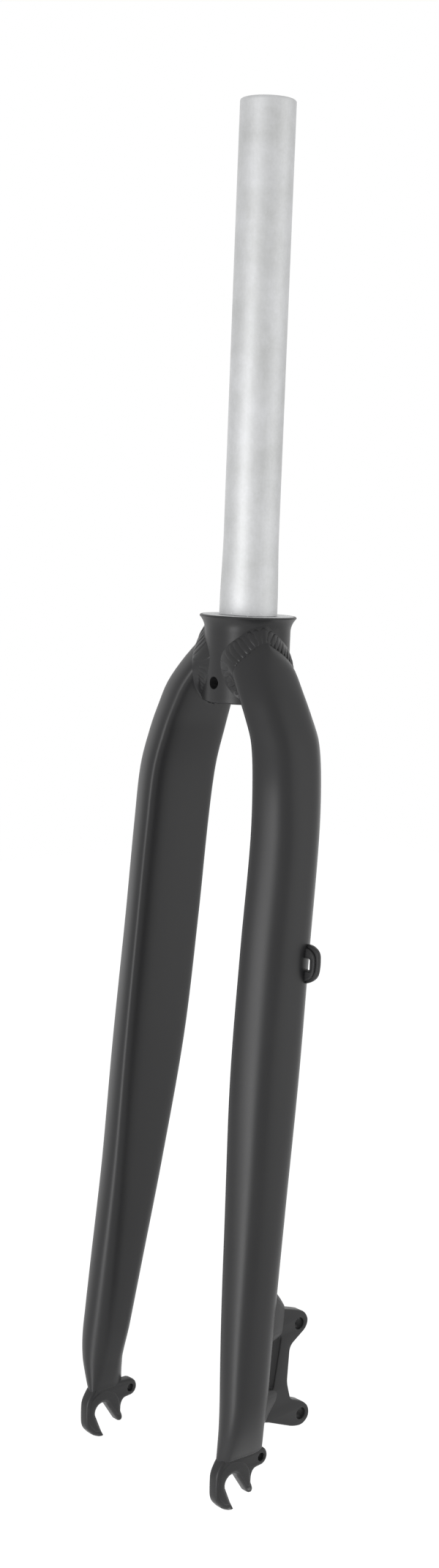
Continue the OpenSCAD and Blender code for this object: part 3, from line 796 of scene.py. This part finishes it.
def crownSeam(count):  # evenly spaced frames along the joint of crown and left leg
    s = weldShape
    us = np.linspace(0, arcs, s["traceSteps"] + 1)
    line = np.array([legPoint(u % arcs, jointDrop(u % arcs)) for u in us])
    runs = np.append(0, np.cumsum(np.linalg.norm(np.diff(line, axis=0), axis=1)))
    spaced = np.interp(np.arange(count) * runs[-1] / count, runs, us)
    drops = np.array([jointDrop(u) for u in spaced])
    points = np.array([legPoint(u, d) for u, d in zip(spaced, drops)])
    flat = np.stack([crownRadius * np.unwrap(np.arctan2(points[:, 1], points[:, 0])), points[:, 2]], 1)
    frames = []
    for k in range(count):
        p = points[k]
        t = unit(flat[(k + 1) % count] - flat[k - 1])
        plan = -math.degrees(math.atan2(p[1], p[0]))
        ahead = ramp(plan, *s["frontSpan"])  # the bead is broader in front, and at its foot on the crown
        foot = ramp(-p[2], *s["footDrops"]) * ramp(plan, *s["footSpan"])
        toe = flat[k] + (s["crownWidth"] + s["footWidth"] * foot) * np.array([-t[1], t[0]])
        a = toe[0] / crownRadius
        z = max(toe[1], -crownShape["height"] + s["toeLift"])
        r = crownRadiusAt(z)
        crownToe = np.array([r * math.cos(a), r * math.sin(a), z])
        legToe = legPoint(spaced[k], drops[k] + s["legWidth"] + s["frontWidth"] * ahead)
        outward = unit(unit([p[0], p[1], 0]) + legSide(spaced[k], drops[k]))
        along = unit(points[(k + 1) % count] - points[k - 1])
        frames.append((p, legToe, crownToe, outward, along))
    return frames, runs[-1]


def beadMesh(name, frames, flip):
    s = weldShape
    t = np.linspace(0, 1, s["across"])[:, None]
    rings = []
    for p, legToe, crownToe, outward, _ in frames:
        ring = curve(legToe, p + s["crest"] * s["height"] * outward, crownToe, t)
        rings.append(np.vstack([ring, p - s["rootSink"] * outward]))
    points = np.vstack(rings)
    faces = gridFaces(len(frames), s["across"] + 1, True)
    return meshFrom(name, mirrored(points) if flip else points, faces)


# One tree lays ripples on any seam: its points carry the ripple's directions and sizes
def rippleTree():
    tree = bpy.data.node_groups.new("layRipples", "GeometryNodeTree")
    for name, way, kind in (
            ("Seam", "INPUT", "Geometry"), ("Ripple Length", "INPUT", "Float"),
            ("Ripple Rise", "INPUT", "Float"), ("Tilt", "INPUT", "Float"), ("Seed", "INPUT", "Int"),
            ("Finish", "INPUT", "Material"), ("Ripples", "OUTPUT", "Geometry")):
        tree.interface.new_socket(name, in_out=way, socket_type="NodeSocket" + kind)
    recipe = Recipe(tree)
    given = recipe.node("NodeGroupInput")

    def named(name, kind):
        return recipe.node("GeometryNodeInputNamedAttribute", {"data_type": kind}, {"Name": name})
    outward, forward = named("outward", "FLOAT_VECTOR"), named("forward", "FLOAT_VECTOR")
    width, rise = named("halfWidth", "FLOAT"), named("rise", "FLOAT")
    upright = recipe.node("FunctionNodeAlignRotationToVector", {"axis": "Z"}, {"Vector": outward})
    turned = recipe.node("FunctionNodeAlignRotationToVector", {"axis": "X", "pivot_axis": "Z"},
                         {"Rotation": upright, "Vector": forward})
    lean = recipe.node("ShaderNodeCombineXYZ", {}, {"Y": given.pick("Tilt")})
    leaning = recipe.node("FunctionNodeEulerToRotation", {}, {0: lean})
    rotation = recipe.node("FunctionNodeRotateRotation", {"rotation_space": "LOCAL"},
                           {"Rotation": turned, "Rotate By": leaning})
    lowest, highest = weldShape["vary"]
    vary = recipe.node("FunctionNodeRandomValue", {"data_type": "FLOAT"},
                       {2: lowest, 3: highest, "Seed": given.pick("Seed")}, 1)
    size = recipe.node("ShaderNodeCombineXYZ", {}, {
        "X": given.pick("Ripple Length"), "Y": width, "Z": given.pick("Ripple Rise") * rise * vary})
    segments, rings = weldShape["ballSteps"]
    ball = recipe.node("GeometryNodeMeshUVSphere", {}, {"Segments": segments, "Rings": rings, "Radius": 1.0})
    dots = recipe.node("GeometryNodeMeshToPoints", {}, {"Mesh": given.pick("Seam")})
    laid = recipe.node("GeometryNodeInstanceOnPoints", {}, {
        "Points": dots, "Instance": ball, "Rotation": rotation, "Scale": size})
    real = recipe.node("GeometryNodeRealizeInstances", {}, {"Geometry": laid})
    smooth = recipe.node("GeometryNodeSetShadeSmooth", {}, {"Geometry": real})
    done = recipe.node("GeometryNodeSetMaterial", {}, {"Geometry": smooth, "Material": given.pick("Finish")})
    recipe.node("NodeGroupOutput", {}, {"Ripples": done})
    return tree


layRipples = rippleTree()


def rippleMesh(name, places, marks, sizes):  # marks are kept on the points, sizes go to the tree
    seam = bpy.data.meshes.new(name + "Seam")
    seam.from_pydata([tuple(p) for p in np.asarray(places) * mm], [], [])
    for key, (kind, field, values) in marks.items():
        seam.attributes.new(key, kind, "POINT").data.foreach_set(field, np.asarray(values, float).ravel())
    made = addObject(name + "Seam", seam)
    modifier = made.modifiers.new("ripples", "NODES")
    modifier.node_group = layRipples
    inputs = {item.name: item.identifier for item in layRipples.interface.items_tree if item.in_out == "INPUT"}
    for key, value in sizes.items():
        modifier[inputs[key]] = value
    mesh = appliedMesh(made)
    mesh.name = name
    bpy.data.objects.remove(made)
    return mesh


def crownWeld(name, flip):
    s = weldShape
    frames, length = crownSeam(s["steps"])
    bead = beadMesh(name + "Bead", frames, flip)
    places, outwards, forwards, widths, rises = [], [], [], [], []
    for p, legToe, crownToe, outward, along in crownSeam(round(length / s["ripplePitch"]))[0]:
        crest = curve(legToe, p + s["crest"] * s["height"] * outward, crownToe, 0.5)
        across = unit(crownToe - legToe)
        normal = unit(outward - across * (outward @ across))
        places.append(crest - s["rippleSink"] * normal)
        outwards.append(normal)
        forwards.append(along)
        widths.append(np.linalg.norm(crownToe - legToe) * 0.5 * mm)
        plan = math.degrees(math.atan2(p[1], p[0]))
        isHigh = s["highSpan"][0] < plan < s["highSpan"][1] and p[2] > -s["highDrop"]
        rises.append(1.0 if isHigh else s["lowRise"])
    if flip:
        places, outwards, forwards = mirrored(places), mirrored(outwards), mirrored(forwards)
    marks = {"outward": ("FLOAT_VECTOR", "vector", outwards), "forward": ("FLOAT_VECTOR", "vector", forwards),
             "halfWidth": ("FLOAT", "value", widths), "rise": ("FLOAT", "value", rises)}
    sizes = {"Ripple Length": s["rippleLength"] * mm, "Ripple Rise": (s["rippleRise"] + s["rippleSink"]) * mm,
             "Tilt": math.radians(s["tilt"]), "Seed": s["seed"] + flip, "Finish": weldPaint}
    return joinMeshes(name, [bead, rippleMesh(name + "Ripples", places, marks, sizes)])


paintedPiece("leftCrownWeld", crownWeld("leftCrownWeld", False), weldPaint, "left_crown_weld", weldCrease)
paintedPiece("rightCrownWeld", crownWeld("rightCrownWeld", True), weldPaint, "right_crown_weld", weldCrease)

# Fillet welds round the disc mount's two feet. Each has the foot on the leg and the toe on the mount, as
# shares of the mount's pitch, and its widths downwards
footShape = {
    "legWidth": 3.5, "rise": 1.3, "steps": 140, "across": 7, "toeSpread": 0.1, "rearSpan": (5.6, 7.9),
    "rearRounds": 16, "square": 0.35, "toeSquare": 0.5, "ripplePitch": 3.2, "rippleShare": 0.28,
    "upper": [[0.42, -0.06], [0.26, -0.08], [10.4, 11.2, 12.0, 12.6]],
    "lower": [[-0.63, -0.99], [-0.64, -0.985], [17.0, 16.6, 13.4, 11.6]],
}


def rearU(x, drop):  # place on the leg's rear where it has the given x
    return halve(*footShape["rearSpan"], lambda u: legPoint(u, drop)[0] > x, footShape["rearRounds"])


def squared(a, power):  # a point of a round square: the smaller the power, the squarer
    return [math.copysign(abs(v) ** power, v) for v in (math.cos(a), math.sin(a))]


def footWeld(name, shares):
    s, m = footShape, mountShape
    (top, low), (toeTop, toeLow) = [[-m["drop"] + v * m["pitch"] for v in pair] for pair in shares[:2]]
    widths = shares[2]
    mid = np.array([m["face"] - m["thickness"] / 2, (top + low) / 2])
    half = np.array([m["thickness"] / 2, (top - low) / 2])
    ripples = round(2 * math.pi * half[1] / s["ripplePitch"])
    rings = []
    for k in range(s["steps"]):
        a = -2 * math.pi * k / s["steps"]
        edge = mid + half * squared(a, s["square"])
        toe = mid + (half + s["legWidth"]) * squared(a, s["toeSquare"])
        root = legPoint(rearU(edge[0], -edge[1]), -edge[1])
        legToe = legPoint(rearU(toe[0], -toe[1]), -toe[1])
        width = np.interp((top - edge[1]) / (top - low), np.linspace(0, 1, len(widths)), widths)
        mountToe = np.array([edge[0] + s["toeSpread"] * math.cos(a), root[1] + width,
                             toeLow + (edge[1] - low) * (toeTop - toeLow) / (top - low)])
        lift = unit(legToe - root + mountToe - root)
        wave = 1 - s["rippleShare"] + s["rippleShare"] * abs(math.sin(k / s["steps"] * math.pi * ripples))
        crest = (legToe + mountToe) / 2 + s["rise"] * wave * lift
        ring = curve(legToe, crest, mountToe, np.linspace(0, 1, s["across"])[:, None])
        rings.append(np.vstack([ring, root - lift]))
    return meshFrom(name, np.vstack(rings), gridFaces(s["steps"], s["across"] + 1, True))


for name, foot, node in (("upperMountWeld", "upper", "upper_mount_weld"),
                         ("lowerMountWeld", "lower", "lower_mount_weld")):
    paintedPiece(name, footWeld(name, footShape[foot]), weldPaint, node, weldCrease)
print("fork: welds laid")

# Camera
cameraSettings = {
    "azimuth": 48.03, "elevation": 7.55, "roll": 2.18, "lens": 47.796, "sensor": 36, "nearest": 0.01,
    "place": (0.7968, -0.7322, 0.0545),
}


def placeCamera(s):
    a, e, r = [math.radians(s[k]) for k in ("azimuth", "elevation", "roll")]
    back = np.array([math.sin(a) * math.cos(e), -math.cos(a) * math.cos(e), math.sin(e)])
    right = np.array([math.cos(a), math.sin(a), 0])
    up = np.cross(back, right)
    camera = addObject("camera", bpy.data.cameras.new("camera"))
    camera.data.lens = s["lens"]
    camera.data.sensor_width = s["sensor"]
    camera.data.clip_start = s["nearest"]
    camera.matrix_world = standing(
        [math.cos(r) * right + math.sin(r) * up, -math.sin(r) * right + math.cos(r) * up, back], s["place"])
    bpy.context.scene.camera = camera


placeCamera(cameraSettings)

# Light and floor. The lamps stand upright and face the fork's middle line
white = (1, 1, 1, 1)
studio = {
    "world": 0.46, "floorDrop": 0.95, "floorReach": 6, "floorColour": (0.86, 0.86, 0.86, 1), "floorGlow": 0.66,
    "aimY": -0.02,
    "lamps": [  # name, place, size, power, colour
        ("keySoftbox", (0.25, -1.5, -0.52), (0.40, 1.16), 12.4, (1.0, 1.0, 1.0)),
        ("leftSoftbox", (-1.5, -0.2, 0.1), (0.9, 1.4), 0.7, (0.97, 0.985, 1.0)),
        ("rightSoftbox", (1.33, 0.90, 0.25), (1.0, 1.9), 5.0, (1.0, 1.0, 0.985)),
    ],
}


def lookThrough(recipe, seen, lit):  # seen by camera, mirror and glass rays, lit for the rest
    path = recipe.node("ShaderNodeLightPath", output="Is Camera Ray")
    direct = path + path.pick("Is Glossy Ray") + path.pick("Is Transmission Ray")
    return recipe.node("ShaderNodeMixShader", {}, {0: direct, 1: lit, 2: seen})


def lightWorld(strength):
    world = bpy.data.worlds.new("studioWorld")
    bpy.context.scene.world = world
    world.use_nodes = True
    recipe = Recipe(world.node_tree)
    seen = recipe.node("ShaderNodeBackground", {}, {"Color": white, "Strength": 1.0})
    lit = recipe.node("ShaderNodeBackground", {}, {"Color": white, "Strength": strength})
    recipe.node("ShaderNodeOutputWorld", {}, {"Surface": lookThrough(recipe, seen, lit)})


def layFloor(s):
    low, reach = cadBox[0][2] - s["floorDrop"], s["floorReach"]
    corners = [(-reach, -reach, low), (reach, -reach, low), (reach, reach, low), (-reach, reach, low)]
    mesh = bpy.data.meshes.new("floor")
    mesh.from_pydata(corners, [], [(0, 1, 2, 3)])
    floor = addObject("floor", mesh)
    material, recipe = newMaterial("paleFloor")
    matt = recipe.node("ShaderNodeBsdfDiffuse", {}, {"Color": s["floorColour"]})
    glow = recipe.node("ShaderNodeEmission", {}, {"Color": white, "Strength": s["floorGlow"]})
    seen = recipe.node("ShaderNodeAddShader", {}, {0: matt, 1: glow})
    recipe.node("ShaderNodeOutputMaterial", {}, {"Surface": lookThrough(recipe, seen, matt)})
    mesh.materials.append(material)


def hangLamp(name, place, size, power, colour):
    lamp = bpy.data.lights.new(name, "AREA")
    lamp.shape = "RECTANGLE"
    lamp.size, lamp.size_y = size
    lamp.energy = power
    lamp.color = colour
    away = unit([place[0], place[1] - studio["aimY"], 0])
    side = unit(np.cross([0, 0, 1], away))
    addObject(name, lamp).matrix_world = standing([side, np.cross(away, side), away], place)


lightWorld(studio["world"])
layFloor(studio)
for lampRow in studio["lamps"]:
    hangLamp(*lampRow)
bpy.context.scene.view_settings.view_transform = "Standard"
print("fork: camera, light and floor set")
